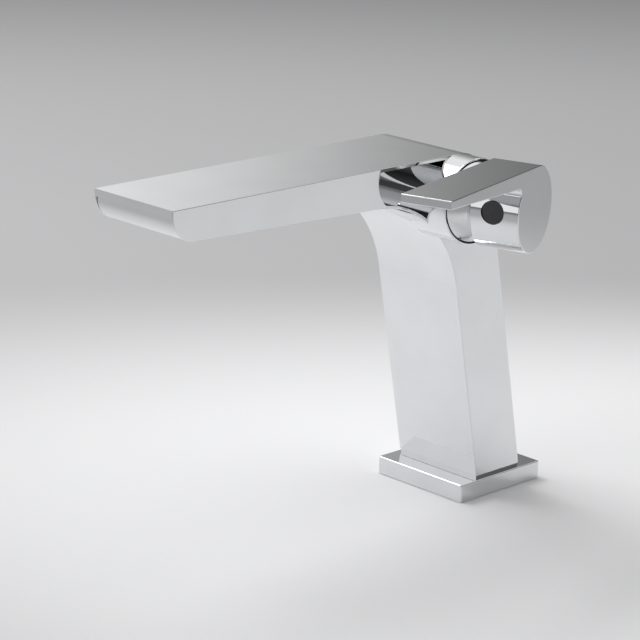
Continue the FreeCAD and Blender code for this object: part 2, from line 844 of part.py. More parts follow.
def make_base_plate():
    body = new_body("base_plate")
    half = d.base_side / 2
    sketch = new_sketch(body, "XY_Plane", "plate_outline")
    rectangle(sketch, -half, half, -half, half)
    pad(body, sketch, "plate_block", d.base_height)
    fillet(body, "plate_corners", d.base_corner,
           lambda e: abs(e.Length - size(d.base_height).value) < 0.01)
    fillet(body, "plate_edge", d.base_edge, lambda e: all_at(e, z=d.base_height))
    hollow = new_sketch(body, "XY_Plane", "plate_hollow_sketch")
    inner = half - d.base_wall
    rectangle(hollow, -inner, inner, -inner, inner)
    pocket(body, hollow, "plate_hollow", d.base_height - d.base_web, 1)
    cut_passage(body, d.base_height)
    return body


def cut_passage(body, top_z):
    sketch = new_sketch(body, "XY_Plane", f"{body.Label}_passage_sketch", top_z)
    rectangle(sketch, -passage_half_width, passage_half_width, -passage_half_depth, passage_half_depth)
    pocket(body, sketch, f"{body.Label}_passage", d.base_height)


def make_base_gasket():
    body = new_body("base_gasket")
    inner = d.base_side / 2 - d.base_wall - d.gasket_gap
    sketch = new_sketch(body, "XY_Plane", "gasket_outline")
    rectangle(sketch, -inner, inner, -inner, inner)
    height = d.base_height - d.base_web
    pad(body, sketch, "gasket_pad", height)
    holes = new_sketch(body, "XY_Plane", "gasket_holes_sketch")
    circle(holes, 0, -d.stud_y, stud_clear)
    for side in (-1, 1):
        circle(holes, side * d.inlet_x, d.inlet_y, d.hose_hole)
    pocket(body, holes, "gasket_holes", height, 1)
    return body


def make_foot_collar():
    body = new_body("foot_collar")
    sketch = new_sketch(body, "XY_Plane", "collar_outline", d.base_height)
    half = body_half - d.collar_inset
    rectangle(sketch, -half, half, front_at(foot_z) + d.collar_inset, rear_at(foot_z) - d.collar_inset)
    pad(body, sketch, "collar_ring", d.collar_height)
    cut_passage(body, foot_z)
    return body


def make_mounting_stud():
    low = -d.stud_below
    rod = primitive("Cylinder", "stud_rod", (0, -d.stud_y, low),
                    Radius=d.stud_radius, Height=foot_z + d.stud_depth - 0.5 - low)
    slot = primitive("Box", "stud_slot", (-d.stud_radius - 1, -d.stud_y - d.stud_slot_width / 2, low - 1),
                     Length=2 * d.stud_radius + 2, Width=d.stud_slot_width, Height=d.stud_slot_depth + 1)
    return join("Cut", "mounting_stud", [rod, slot])


def make_horseshoe(label, top_z, height):
    body = new_body(label)
    disc = new_sketch(body, "XY_Plane", f"{label}_disc", top_z)
    circle(disc, 0, 0, d.horseshoe_radius)
    pad(body, disc, f"{label}_blank", height, -1)
    slot = new_sketch(body, "XY_Plane", f"{label}_slot_sketch", top_z)
    rectangle(slot, -d.horseshoe_slot_half, d.horseshoe_slot_half, -d.horseshoe_slot_y, d.horseshoe_radius + 1)
    pocket(body, slot, f"{label}_slot", height)
    bore(body, f"{label}_hole", "XY_Plane", top_z, 0, -d.stud_y, stud_clear, height)
    return body


def make_mounting_nut():
    body = new_body("mounting_nut")
    top = -(d.deck_thickness + d.clamp_gasket_height + d.clamp_washer_height)
    sketch = new_sketch(body, "XY_Plane", "nut_hexagon", top)
    across = d.nut_flats / root(3)
    outline(sketch, [(across * cosine(60 * turn), across * sine(60 * turn) - d.stud_y) for turn in range(6)])
    pad(body, sketch, "nut_blank", d.nut_height, -1)
    bore(body, "nut_hole", "XY_Plane", top, 0, -d.stud_y, stud_bore, d.nut_height)
    return body


# ---------------------------------------------------------------- cartridge

base_front = seat_x + d.base_length
fixed_front = base_front + d.disc_height
moving_back = fixed_front + d.disc_film
moving_front = moving_back + d.disc_height
carrier_back = moving_front + d.disc_film
carrier_front = carrier_back + d.carrier_height
flange_back = carrier_front + d.flange_gap
flange_front = flange_back + d.flange_height
disc_shift = -d.ball_arm * sine(d.rest_tilt)
moving_disc_radius = shell_bore + disc_shift - d.disc_sweep_gap
on_disc = (0, disc_shift * cosine(d.rest_turn) - d.axis_y, axis_z - disc_shift * sine(d.rest_turn), as_rested)


def three_ports(body, plane_x, radius, depth, name):
    """The cold port's hole, and a polar pattern of it for the other two."""
    y, z = port_at("cold")
    hole = bore(body, f"{name}_hole", "YZ_Plane", plane_x, y, z, radius, depth, 1)
    pattern = body.newObject("PartDesign::PolarPattern", f"{name}_pattern")
    pattern.Originals = [hole]
    pattern.Axis = ([item for item in body.Origin.OriginFeatures if item.Role == "X_Axis"][0], [""])
    pattern.Angle = 360
    pattern.Occurrences = 3
    body.Tip = pattern
    doc.recompute()


def make_cartridge_base():
    groove = seat_x + d.seal_groove_start
    body = turned("cartridge_base", [(seat_x, 0), (base_front, 0), (base_front, d.base_radius),
                                     (groove + d.seal_groove_width, d.base_radius),
                                     (groove + d.seal_groove_width, seal_groove_floor),
                                     (groove, seal_groove_floor), (groove, d.base_radius),
                                     (seat_x, d.base_radius)], on_axis)
    three_ports(body, seat_x, d.port_radius, d.base_length, "base_port")
    three_ports(body, seat_x, d.port_seal_bore, d.port_seal_depth, "base_seal_seat")
    return body


def make_seals():
    wire = (cartridge_bore - 0.02 - seal_groove_floor - 0.02) / 2
    facing_x = about("y", 90)
    ring = primitive("Torus", "cartridge_ring_seal",
                     (seat_x + d.seal_groove_start + d.seal_groove_width / 2, -d.axis_y, axis_z, facing_x),
                     Radius1=seal_groove_floor + 0.02 + wire, Radius2=wire)
    seals = []
    for name in port_angles:
        y, z = port_at(name)
        seals.append(primitive("Torus", f"{name}_port_seal",
                               (seat_x + d.port_seal_depth / 2, y - d.axis_y, z + axis_z, facing_x),
                               Radius1=d.port_seal_bore - d.port_seal_wire - 0.02, Radius2=d.port_seal_wire))
    return [ring, join("Compound", "port_seals", seals)]


def make_cartridge_shell():
    step = flange_front + d.flange_gap
    flange_end = nut_seat_x + d.shell_flange_height
    return turned("cartridge_shell", [
        (base_front, shell_bore), (step, shell_bore), (step, shell_neck_bore),
        (shell_front, shell_neck_bore), (shell_front, shell_neck_radius),
        (flange_end, shell_neck_radius), (flange_end, shell_flange_radius),
        (nut_seat_x, shell_flange_radius), (nut_seat_x, d.base_radius),
        (base_front, d.base_radius)], on_axis)


def make_fixed_disc():
    body = turned("fixed_disc", tube(base_front, fixed_front, 0, fixed_disc_radius), on_axis)
    three_ports(body, base_front, d.port_radius - 0.2, d.disc_height, "disc_port")
    return body


def make_moving_disc():
    return turned("moving_disc", [
        (moving_back + d.moving_disc_port_depth, 0), (moving_front, 0), (moving_front, moving_disc_radius),
        (moving_back, moving_disc_radius), (moving_back, d.moving_disc_port),
        (moving_back + d.moving_disc_port_depth, d.moving_disc_port)], on_disc)


def make_disc_carrier():
    floor = carrier_back + d.carrier_floor
    return turned("disc_carrier", [
        (carrier_back, 0), (floor, 0), (floor, socket_radius), (carrier_front, socket_radius),
        (carrier_front, moving_disc_radius - 1), (carrier_front - 1, moving_disc_radius),
        (carrier_back, moving_disc_radius)], on_disc)


def make_cartridge_rotor():
    back, flange, front = flange_back - pivot_x, flange_front - pivot_x, d.rotor_front
    body = turned("cartridge_rotor", [(back, 0), (front, 0), (front, d.rotor_radius), (flange, d.rotor_radius),
                                      (flange, flange_radius), (back, flange_radius)], at_pivot)
    slot = new_sketch(body, "YZ_Plane", "rotor_slot_sketch", back)
    rectangle(slot, -rotor_slot_half_length, rotor_slot_half_length,
              -rotor_slot_half_height, rotor_slot_half_height)
    pocket(body, slot, "rotor_slot", front - back, 1)
    bore(body, "rotor_pin_hole", "XY_Plane", d.rotor_radius + 1, 0, 0, d.pin_radius + d.pin_fit,
         2 * d.rotor_radius + 2)
    return body


def make_stem_pin():
    low_y = -d.axis_y - d.pin_half_length * sine(d.rest_turn)
    low_z = axis_z - d.pin_half_length * cosine(d.rest_turn)
    return primitive("Cylinder", "stem_pin", (pivot_x, low_y, low_z, as_rested),
                     Radius=d.pin_radius, Height=2 * d.pin_half_length)


def make_temperature_stop():
    body = turned("temperature_stop", tube(shell_front, shell_front + d.stop_height,
                                           stop_bore, shell_neck_radius), on_axis)
    notch = new_sketch(body, "YZ_Plane", "stop_notch_sketch", shell_front)
    rectangle(notch, -d.stop_notch / 2, d.stop_notch / 2, stop_bore - 1, shell_neck_radius + 1)
    pocket(body, notch, "stop_notch", d.stop_height / 2, 1)
    return body


def make_cartridge_nut():
    back = nut_seat_x + d.shell_flange_height
    body = turned("cartridge_nut", [
        (back, nut_inner), (nut_collar_front, nut_inner), (nut_collar_front, d.nut_collar_radius),
        (nut_front, d.nut_collar_radius), (nut_front, d.nut_outer), (back, d.nut_outer)], on_axis)
    notch = new_sketch(body, "YZ_Plane", "nut_notch_sketch", nut_collar_front)
    for side in (-1, 1):
        middle = side * (nut_inner + d.nut_collar_radius) / 2
        rectangle(notch, middle - 2, middle + 2, -2, 2)
    pocket(body, notch, "nut_notches", 1.5)
    return body


def make_trim_dome():
    """A zone of a sphere about the pivot, on a skirt that stands in the housing's mouth, so that the
    barrel's rim follows the sphere as the lever tilts."""
    body = new_body("trim_dome", on_axis)
    inner_r = dome_radius - d.dome_wall
    outer = root(dome_radius * dome_radius - d.dome_opening * d.dome_opening) + pivot_x
    inner = root(inner_r * inner_r - d.dome_opening * d.dome_opening) + pivot_x
    step = root(inner_r * inner_r - dome_bore * dome_bore) + pivot_x
    skirt_end = root(dome_radius * dome_radius - dome_skirt * dome_skirt) + pivot_x
    sketch = new_sketch(body, "XY_Plane", "dome_profile")
    outline(sketch, [(mouth_floor, dome_bore), (step, dome_bore), (inner, d.dome_opening, "y"),
                     (outer, d.dome_opening), (skirt_end, dome_skirt, "y"), (mouth_floor, dome_skirt)],
            {1: (pivot_x, 0, -1), 3: (pivot_x, 0, 1)})
    spin(body, "Revolution", "dome_turned", sketch)
    return body


def make_dome_seal():
    front = housing_end - d.dome_seal_recess
    return turned("dome_seal", tube(front - d.dome_seal_height, front, dome_skirt, mouth_radius), on_axis)


# ---------------------------------------------------------------- lever


def make_lever_stem():
    """Ball, neck, round part and square end on one line, with a cross hole for the pin."""
    body = new_body("lever_stem", on_lever)
    shaft = new_sketch(body, "XY_Plane", "stem_profile")
    back = -d.ball_arm - d.ball_radius
    meet = -d.ball_arm + root(d.ball_radius * d.ball_radius - d.stem_neck * d.stem_neck)
    outline(shaft, [(back, 0), (meet, d.stem_neck, "y"), (-d.stem_shoulder, d.stem_neck),
                    (-d.stem_shoulder, d.stem_radius), (d.stem_square_start, d.stem_radius),
                    (d.stem_square_start, 0)], {0: (-d.ball_arm, 0, -1)})
    spin(body, "Revolution", "stem_turned", shaft)
    square = new_sketch(body, "YZ_Plane", "stem_square_sketch", d.stem_square_start - 1)
    half = d.stem_square / 2
    rectangle(square, -half, half, -half, half)
    pad(body, square, "stem_square_end", d.stem_end - d.stem_square_start + 1)
    bore(body, "stem_pin_hole", "XY_Plane", d.stem_radius + 1, 0, 0, d.pin_radius + d.pin_clearance,
         2 * d.stem_radius + 2)
    return body


def make_lever_handle():
    """Barrel and lever on one flat end, in the lever's own frame with the pivot at its origin."""
    body = new_body("lever_handle", on_lever)
    start, end, nose = d.handle_start, d.handle_end, -d.lever_nose
    root_z = lever_top - d.lever_root_thickness
    top_y = root(barrel_radius * barrel_radius - lever_top * lever_top)
    root_y = -root(barrel_radius * barrel_radius - root_z * root_z)
    side = new_sketch(body, "YZ_Plane", "handle_side", start)
    outline(side, [(nose, lever_top - d.lever_nose_thickness), (nose, lever_top), (top_y, lever_top),
                   (root_y, root_z, "y")], {2: (0, 0, -1)})
    pad(body, side, "handle_block", end - start)
    fillet(body, "lever_throat", d.lever_throat, lambda e: all_at(e, y=root_y, z=root_z))
    fillet(body, "lever_edges", d.lever_edge,
           lambda e: all_at(e, x=start) or all_at(e, x=end) or all_at(e, y=nose))
    hollow_handle(body)
    return body


def hollow_handle(body):
    """The room for the dome and the housing's lip, the stem's socket and the screw's hole."""
    sweep = new_sketch(body, "XY_Plane", "handle_sweep_sketch")
    outline(sweep, [(0, 0), (handle_sweep, 0), (0, handle_sweep, "x")], {1: (0, 0, 1)})
    spin(body, "Groove", "handle_sweep", sweep)
    square = new_sketch(body, "YZ_Plane", "socket_sketch", handle_sweep - 1)
    half = d.stem_square / 2 + d.stem_gap
    rectangle(square, -half, half, -half, half)
    pocket(body, square, "stem_socket", d.stem_end - handle_sweep + 1 + d.stem_gap, 1)
    for name, radius, floor in (("grub_thread", grub_bore, d.stem_square / 2), ("plug_bore", plug_bore, plug_seat)):
        bore(body, name, "XZ_Plane", barrel_radius + 1, d.grub_x, 0, radius, barrel_radius + 1 - floor)


def make_grub_screw():
    body = new_body("grub_screw", on_lever)
    low = d.stem_square / 2 + d.stem_gap
    ring = new_sketch(body, "XZ_Plane", "grub_sketch", low)
    circle(ring, d.grub_x, 0, d.grub_radius)
    pad(body, ring, "grub_blank", d.grub_length)
    key = new_sketch(body, "XZ_Plane", "grub_key_sketch", low + d.grub_length)
    outline(key, [(d.grub_x + d.grub_socket * cosine(60 * turn), d.grub_socket * sine(60 * turn))
                  for turn in range(6)])
    pocket(body, key, "grub_key", d.grub_socket_depth)
    return body


def make_screw_plug():
    body = new_body("screw_plug", on_lever)
    disc = new_sketch(body, "XZ_Plane", "plug_sketch", plug_seat)
    circle(disc, d.grub_x, 0, d.plug_radius)
    pad(body, disc, "plug_disc", d.plug_height)
    peg = new_sketch(body, "XZ_Plane", "plug_peg_sketch", plug_seat)
    circle(peg, d.grub_x, 0, plug_peg_radius)
    pad(body, peg, "plug_peg", d.plug_peg_length, -1)
    fillet(body, "plug_edge", 0.4, lambda e: all_at(e, y=-(plug_seat + d.plug_height)))
    return body


# ---------------------------------------------------------------- build and write

under_deck = -d.deck_thickness
nodes = [
    make_spout_body(), make_outlet_frame(), make_nozzle_plate(), make_flow_mesh(), make_outlet_gasket(),
    make_outlet_screws(), make_base_plate(), make_base_gasket(), make_foot_collar(), make_mounting_stud(),
    make_horseshoe("horseshoe_gasket", under_deck, d.clamp_gasket_height),
    make_horseshoe("horseshoe_washer", under_deck - d.clamp_gasket_height, d.clamp_washer_height),
    make_mounting_nut(), make_cartridge_base(), *make_seals(), make_cartridge_shell(), make_fixed_disc(),
    make_moving_disc(), make_disc_carrier(), make_cartridge_rotor(), make_stem_pin(),
    make_temperature_stop(), make_cartridge_nut(), make_trim_dome(), make_dome_seal(), make_lever_stem(),
    make_lever_handle(), make_grub_screw(), make_screw_plug(),
]
doc.recompute()

for item in doc.Objects:
    if "Invalid" in item.State or "Error" in item.State:
        raise ValueError(f"{item.Label} failed: {item.State}")
for node in nodes:
    if node.Shape.isNull() or not node.Shape.isValid() or not node.Shape.Solids:
        raise ValueError(f"{node.Label} has no valid solid")

os.makedirs("parts", exist_ok=True)
for node in nodes:
    node.Shape.exportStep(f"parts/{node.Label}.step")
    print(f"{node.Label}: {len(node.Shape.Solids)} solid, {node.Shape.Volume:.1f} mm3")
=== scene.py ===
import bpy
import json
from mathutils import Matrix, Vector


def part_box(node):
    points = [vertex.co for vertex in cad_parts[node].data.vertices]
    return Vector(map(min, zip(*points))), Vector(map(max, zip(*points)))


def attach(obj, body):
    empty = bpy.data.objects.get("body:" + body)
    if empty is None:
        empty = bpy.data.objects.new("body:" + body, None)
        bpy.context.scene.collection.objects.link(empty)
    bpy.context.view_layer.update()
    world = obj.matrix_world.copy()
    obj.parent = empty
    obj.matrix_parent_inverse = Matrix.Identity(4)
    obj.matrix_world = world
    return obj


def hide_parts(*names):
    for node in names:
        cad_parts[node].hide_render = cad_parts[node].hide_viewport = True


bl_info = {
    "name": "Waterfall basin faucet",
    "version": (1, 0, 0),
    "blender": (4, 5, 0),
    "location": "View3D > Sidebar > Faucet",
    "description": "Finishes, small parts and studio for the waterfall basin faucet",
    "category": "Object",
}

import json
import math

import bmesh
import bpy
from bpy.props import FloatProperty, FloatVectorProperty, IntProperty, PointerProperty
from mathutils import Matrix, Vector

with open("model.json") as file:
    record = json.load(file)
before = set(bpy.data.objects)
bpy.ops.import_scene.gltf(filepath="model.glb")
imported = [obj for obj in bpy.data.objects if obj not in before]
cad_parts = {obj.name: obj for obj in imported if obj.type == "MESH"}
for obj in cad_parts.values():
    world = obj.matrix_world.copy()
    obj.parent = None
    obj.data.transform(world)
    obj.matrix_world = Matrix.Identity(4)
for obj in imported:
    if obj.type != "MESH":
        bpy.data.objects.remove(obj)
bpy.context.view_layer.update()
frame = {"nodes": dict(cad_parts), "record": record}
colours = {entry["slot"]: entry["base_color"][:3] for entry in frame["record"]["materials"]}
stud_low, stud_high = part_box("mounting_stud")
nozzle_low, nozzle_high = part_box("nozzle_plate")


# Width of the camera's sensor in mm, which its focal length belongs to
SENSOR_WIDTH = 36.0


def size_property(name, description, default, **limits):
    return FloatProperty(name=name, description=description, default=default, unit="LENGTH",
                         subtype="DISTANCE", precision=5, **limits)


def angle_property(name, description, degrees):
    return FloatProperty(name=name, description=description, default=math.radians(degrees),
                         unit="ROTATION", subtype="ANGLE")


def colour_property(name, description, colour):
    return FloatVectorProperty(name=name, description=description, default=colour,
                               subtype="COLOR", size=3, min=0.0, max=1.0)


def slot_colour(name, description, slot):
    """A colour that starts as the record gives it for this slot."""
    return colour_property(name, description, colours[slot])


class FaucetFinishSettings(bpy.types.PropertyGroup):
    """Colours of the faucet's finishes."""

    chrome: slot_colour("Chrome", "Colour of the polished chrome plate", "body_chrome")
    rubber: slot_colour("Rubber", "Colour of the seals and gaskets", "seal_rubber")
    silicone: slot_colour("Silicone", "Colour of the nozzle plate", "nozzle_rubber")
    steel: slot_colour("Steel", "Colour of the screws, stud and pin", "fastener_steel")
    washer: slot_colour("Washer", "Colour of the zinc-plated clamp washer", "washer_steel")
    brass: slot_colour("Brass", "Colour of the nuts", "nut_brass")
    stem: slot_colour("Stem", "Colour of the lever's stem", "stem_brass")
    plug: slot_colour("Plug", "Colour of the plug over the lever's screw", "plug_plastic")
    acetal: slot_colour("Cartridge", "Colour of the cartridge's casing", "cartridge_plastic")
    carrier: slot_colour("Carrier", "Colour of the cartridge's moving parts", "carrier_plastic")
    stop: slot_colour("Stop ring", "Colour of the temperature stop", "stop_plastic")
    ceramic: slot_colour("Ceramic", "Colour of the ceramic discs", "disc_ceramic")


class FaucetPartSettings(bpy.types.PropertyGroup):
    """Sizes of the small parts that are added to the faucet."""

    thread_pitch: size_property("Thread pitch", "Distance between the stud's thread crests",
                                0.00125, min=0.0005)
    thread_depth: size_property("Thread depth", "Height of the stud's thread", 0.00065, min=0.0001)
    slot_width: size_property("Slot width", "Width of the slot in the stud's end", 0.0012, min=0.0002)
    slot_depth: size_property("Slot depth", "Depth of the slot in the stud's end", 0.002, min=0.0002)
    nozzle_pitch_x: size_property("Nozzle pitch", "Distance between nozzles across the spout",
                                  0.00245, min=0.001)
    nozzle_pitch_y: size_property("Nozzle row pitch", "Distance between the rows of nozzles",
                                  0.0024, min=0.001)
    nozzle_bore: size_property("Nozzle bore", "Radius of a nozzle's hole", 0.00055, min=0.0001)
    nozzle_height: size_property("Nozzle height", "How far a nozzle stands out of its plate",
                                 0.0005, min=0.0001)
    nozzle_columns: IntProperty(name="Nozzle columns", description="Nozzles in a row", default=13, min=1)
    nozzle_rows: IntProperty(name="Nozzle rows", description="Rows of nozzles", default=3, min=1)


class FaucetStudioSettings(bpy.types.PropertyGroup):
    """Floor, light and camera."""

    floor: colour_property("Floor", "Colour of the floor round the faucet", (0.80, 0.80, 0.81))
    # The darker colour is painted shade that the floor takes on away from the painted pool of light round
    # the faucet
    floor_painted_shade: colour_property("Floor edge", "Colour of the floor far from the faucet",
                                (0.18, 0.18, 0.185))
    floor_radius: size_property("Floor radius", "From the faucet to the floor's edge", 6.0, min=0.5)
    floor_drop: size_property("Floor drop", "How far the floor lies under the base plate", 0.0002, min=0.0)
    key_power: FloatProperty(name="Key light", description="Power of the large soft lamp", default=8.0,
                             unit="POWER", min=0.0)
    key_size: size_property("Key size", "Side of the lamp's square", 0.7, min=0.01)
    key_place: FloatVectorProperty(name="Key place", description="Where the lamp hangs", size=3,
                                   default=(-0.70, -0.20, 1.10), subtype="TRANSLATION", unit="LENGTH")
    camera_azimuth: angle_property("Azimuth", "Camera's angle round the faucet", 45.98)
    camera_elevation: angle_property("Elevation", "Camera's angle above the deck", 16.581)
    camera_roll: angle_property("Roll", "Camera's turn about its own line of sight", 1.32)
    camera_distance: size_property("Distance", "From the camera to the faucet's base", 1.1419, min=0.1)
    camera_shift_x: size_property("Sideways", "How far the camera stands to the side of the base", -0.06101)
    camera_shift_y: size_property("Upwards", "How far the camera stands above the base", 0.06837)
    camera_lens: FloatProperty(name="Lens", description="Focal length on a 36 mm sensor", default=145.4,
                               min=10.0)


# ---------------------------------------------------------------- shader helpers


# The mix node has its colour sockets at these numbers, as every kind of data has sockets of its own.
MIX_FIRST, MIX_SECOND, MIX_RESULT = 6, 7, 2


def add_node(tree, kind, inputs, **settings):
    """A shader node whose sockets get values, or links from other sockets."""
    node = tree.nodes.new(kind)
    for key, value in settings.items():
        setattr(node, key, value)
    for key, value in inputs.items():
        if isinstance(value, bpy.types.NodeSocket):
            tree.links.new(value, node.inputs[key])
        else:
            node.inputs[key].default_value = value
    return node


def add_ramp(tree, value, low, high, to_low, to_high):
    """A smooth step from one level to another while the value goes from low to high."""
    return add_node(tree, "ShaderNodeMapRange", {
        "Value": value, "From Min": low, "From Max": high, "To Min": to_low, "To Max": to_high},
        interpolation_type="SMOOTHSTEP").outputs["Result"]


class Finish:
    """A material with one surface shader, and short ways to add textures to it."""

    def __init__(self, name, **values):
        self.material = bpy.data.materials.new(name)
        self.material.use_nodes = True
        self.tree = self.material.node_tree
        self.shader = self.tree.nodes["Principled BSDF"]
        self.place = self.node("ShaderNodeTexCoord", {}).outputs["Object"]
        for socket, value in values.items():
            self.shader.inputs[socket.replace("_", " ")].default_value = value

    def node(self, kind, inputs, **settings):
        return add_node(self.tree, kind, inputs, **settings)

    def stretched(self, x, y, z):
        """The place on the object, scaled unevenly so that a texture runs in lines."""
        mapping = self.node("ShaderNodeMapping", {"Vector": self.place, "Scale": (x, y, z)})
        return mapping.outputs["Vector"]

    def noise(self, scale, detail=3.0, roughness=0.5, distortion=0.0, place=None):
        return self.node("ShaderNodeTexNoise", {
            "Vector": place or self.place, "Scale": scale, "Detail": detail, "Roughness": roughness,
            "Distortion": distortion}).outputs["Fac"]

    def ramp(self, value, low, high, to_low, to_high):
        return add_ramp(self.tree, value, low, high, to_low, to_high)

    def add(self, first, second):
        return self.node("ShaderNodeMath", {0: first, 1: second}, operation="ADD").outputs["Value"]

    def colour(self, amount, first, second):
        """Mixes two colours: the first where the amount is 0, the second where it is 1."""
        mix = self.node("ShaderNodeMix", {"Factor": amount}, data_type="RGBA")
        for number, colour in ((MIX_FIRST, first), (MIX_SECOND, second)):
            mix.inputs[number].default_value = (*colour, 1.0)
        self.tree.links.new(mix.outputs[MIX_RESULT], self.shader.inputs["Base Color"])

    def roughness(self, value):
        self.tree.links.new(value, self.shader.inputs["Roughness"])

    def bump(self, height, distance):
        """Raises the surface by the height times the distance, on top of any earlier bump."""
        node = self.node("ShaderNodeBump", {"Height": height, "Distance": distance})
        earlier = self.shader.inputs["Normal"].links
        if earlier:
            self.tree.links.new(earlier[0].from_socket, node.inputs["Normal"])
        self.tree.links.new(node.outputs["Normal"], self.shader.inputs["Normal"])


# How fine the grain of the nozzles' silicone is, in noise cells to the metre
SILICONE_GRAIN = 3400.0


def shade(colour, factor):
    return tuple(min(1.0, channel * factor) for channel in colour)


def dress(node_names, finish):
    """Gives the CAD nodes this finish."""
    for name in node_names:
        mesh = frame["nodes"][name].data
        mesh.materials.clear()
        mesh.materials.append(finish.material)


def add_piece(name, mesh, finish, body):
    for face in mesh.polygons:
        face.use_smooth = True
    mesh.materials.append(finish.material)
    piece = bpy.data.objects.new(name, mesh)
    bpy.context.scene.collection.objects.link(piece)
    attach(piece, body)
    return piece


# ---------------------------------------------------------------- finishes


def polished_chrome(name, colour, wave=1.0):
    """Mirror plate over a polished casting: faint long waves, wiping marks and a few dried specks."""
    finish = Finish(name, Metallic=1.0)
    cloud = finish.noise(38.0, 3.0, 0.55)
    finish.colour(finish.ramp(cloud, 0.35, 0.7, 0.0, 1.0), colour, shade(colour, 0.965))
    wipe = finish.noise(420.0, 5.0, 0.65, 0.4, finish.stretched(0.25, 1.0, 1.0))
    smear = finish.ramp(cloud, 0.45, 0.72, 0.0, 0.035)
    specks = finish.ramp(finish.noise(900.0, 2.0, 0.5), 0.70, 0.78, 0.0, 0.05)
    fine = finish.add(finish.ramp(wipe, 0.3, 0.8, 0.018, 0.045), smear)
    finish.roughness(finish.add(fine, specks))
    finish.bump(finish.noise(22.0, 1.0, 0.4), 0.00004 * wave)
    finish.bump(finish.noise(160.0, 2.0, 0.5), 0.0000025 * wave)
    return finish


def soft_rubber(name, colour, grain=2600.0):
    finish = Finish(name, Metallic=0.0, Specular_IOR_Level=0.35)
    cloud = finish.noise(120.0, 4.0, 0.6)
    finish.colour(finish.ramp(cloud, 0.3, 0.75, 0.0, 1.0), shade(colour, 0.85), shade(colour, 1.5))
    finish.roughness(finish.ramp(cloud, 0.25, 0.8, 0.5, 0.78))
    finish.bump(finish.noise(grain, 3.0, 0.6), 0.00003)
    return finish


def drawn_steel(name, colour, along=(1.0, 1.0, 0.05)):
    """Steel with fine lines left by drawing or rolling."""
    finish = Finish(name, Metallic=1.0)
    lines = finish.noise(3200.0, 3.0, 0.7, 0.0, finish.stretched(*along))
    cloud = finish.noise(150.0, 4.0, 0.6)
    finish.colour(finish.ramp(cloud, 0.3, 0.7, 0.0, 1.0), colour, shade(colour, 0.86))
    finish.roughness(finish.add(finish.ramp(lines, 0.3, 0.7, 0.18, 0.34),
                                finish.ramp(cloud, 0.4, 0.8, 0.0, 0.08)))
    finish.bump(lines, 0.000006)
    return finish


def turned_brass(name, colour):
    """Brass with the turning tool's marks and a little tarnish."""
    finish = Finish(name, Metallic=1.0)
    cloud = finish.noise(90.0, 5.0, 0.6)
    marks = finish.noise(2400.0, 2.0, 0.6, 0.0, finish.stretched(1.0, 0.06, 0.06))
    finish.colour(finish.ramp(cloud, 0.4, 0.8, 0.0, 1.0), colour, shade(colour, 0.7))
    finish.roughness(finish.add(finish.ramp(marks, 0.3, 0.7, 0.16, 0.30),
                                finish.ramp(cloud, 0.4, 0.8, 0.0, 0.14)))
    finish.bump(marks, 0.000008)
    return finish


def moulded_plastic(name, colour, gloss=0.42):
    finish = Finish(name, Metallic=0.0)
    cloud = finish.noise(60.0, 4.0, 0.55)
    finish.colour(finish.ramp(cloud, 0.3, 0.75, 0.0, 1.0), shade(colour, 0.93), shade(colour, 1.05))
    finish.roughness(finish.ramp(cloud, 0.25, 0.75, gloss - 0.06, gloss + 0.07))
    finish.bump(finish.noise(1900.0, 2.0, 0.5), 0.00001)
    return finish


def lapped_ceramic(name, colour):
    finish = Finish(name, Metallic=0.0, Coat_Weight=0.4, Coat_Roughness=0.08)
    grain = finish.noise(4200.0, 3.0, 0.7)
    finish.colour(finish.ramp(grain, 0.35, 0.7, 0.0, 1.0), shade(colour, 0.94), colour)
    finish.roughness(finish.ramp(grain, 0.3, 0.7, 0.12, 0.24))
    finish.bump(grain, 0.000002)
    return finish


# ---------------------------------------------------------------- pieces


class FAUCET_OT_spout(bpy.types.Operator):
    """Gives the spout, outlet frame, base and collar their polished chrome"""

    bl_idname = "faucet.spout"
    bl_label = "Chrome of spout and base"

    def execute(self, context):
        chrome = tuple(context.scene.faucet_finish.chrome)
        dress(["spout_body"], polished_chrome("spout_chrome", chrome))
        dress(["outlet_frame"], polished_chrome("outlet_chrome", shade(chrome, 0.97)))
        dress(["base_plate"], polished_chrome("base_chrome", shade(chrome, 0.99), 0.6))
        dress(["foot_collar"], polished_chrome("collar_chrome", shade(chrome, 0.93), 0.6))
        return {"FINISHED"}


class FAUCET_OT_lever(bpy.types.Operator):
    """Gives the lever, the dome and the plug their finishes"""

    bl_idname = "faucet.lever"
    bl_label = "Chrome of lever and dome"

    def execute(self, context):
        settings = context.scene.faucet_finish
        chrome = tuple(settings.chrome)
        dress(["lever_handle"], polished_chrome("lever_chrome", chrome, 0.7))
        dress(["trim_dome"], polished_chrome("dome_chrome", shade(chrome, 0.98), 0.5))
        dress(["screw_plug"], moulded_plastic("plug_plastic", shade(tuple(settings.plug), 0.5), 0.2))
        return {"FINISHED"}


class FAUCET_OT_seals(bpy.types.Operator):
    """Gives the seals, gaskets, strainer and nozzle plate their finishes"""

    bl_idname = "faucet.seals"
    bl_label = "Rubber and strainer"

    def execute(self, context):
        settings = context.scene.faucet_finish
        rubber = tuple(settings.rubber)
        dress(["dome_seal", "outlet_gasket", "cartridge_ring_seal", "port_seals"],
              soft_rubber("seal_rubber", rubber))
        dress(["base_gasket", "horseshoe_gasket"], soft_rubber("pad_rubber", shade(rubber, 2.0), 1500.0))
        dress(["nozzle_plate"], soft_rubber("nozzle_silicone", tuple(settings.silicone), SILICONE_GRAIN))
        dress(["flow_mesh"], drawn_steel("strainer_steel", tuple(settings.steel), (1.0, 0.1, 1.0)))
        return {"FINISHED"}


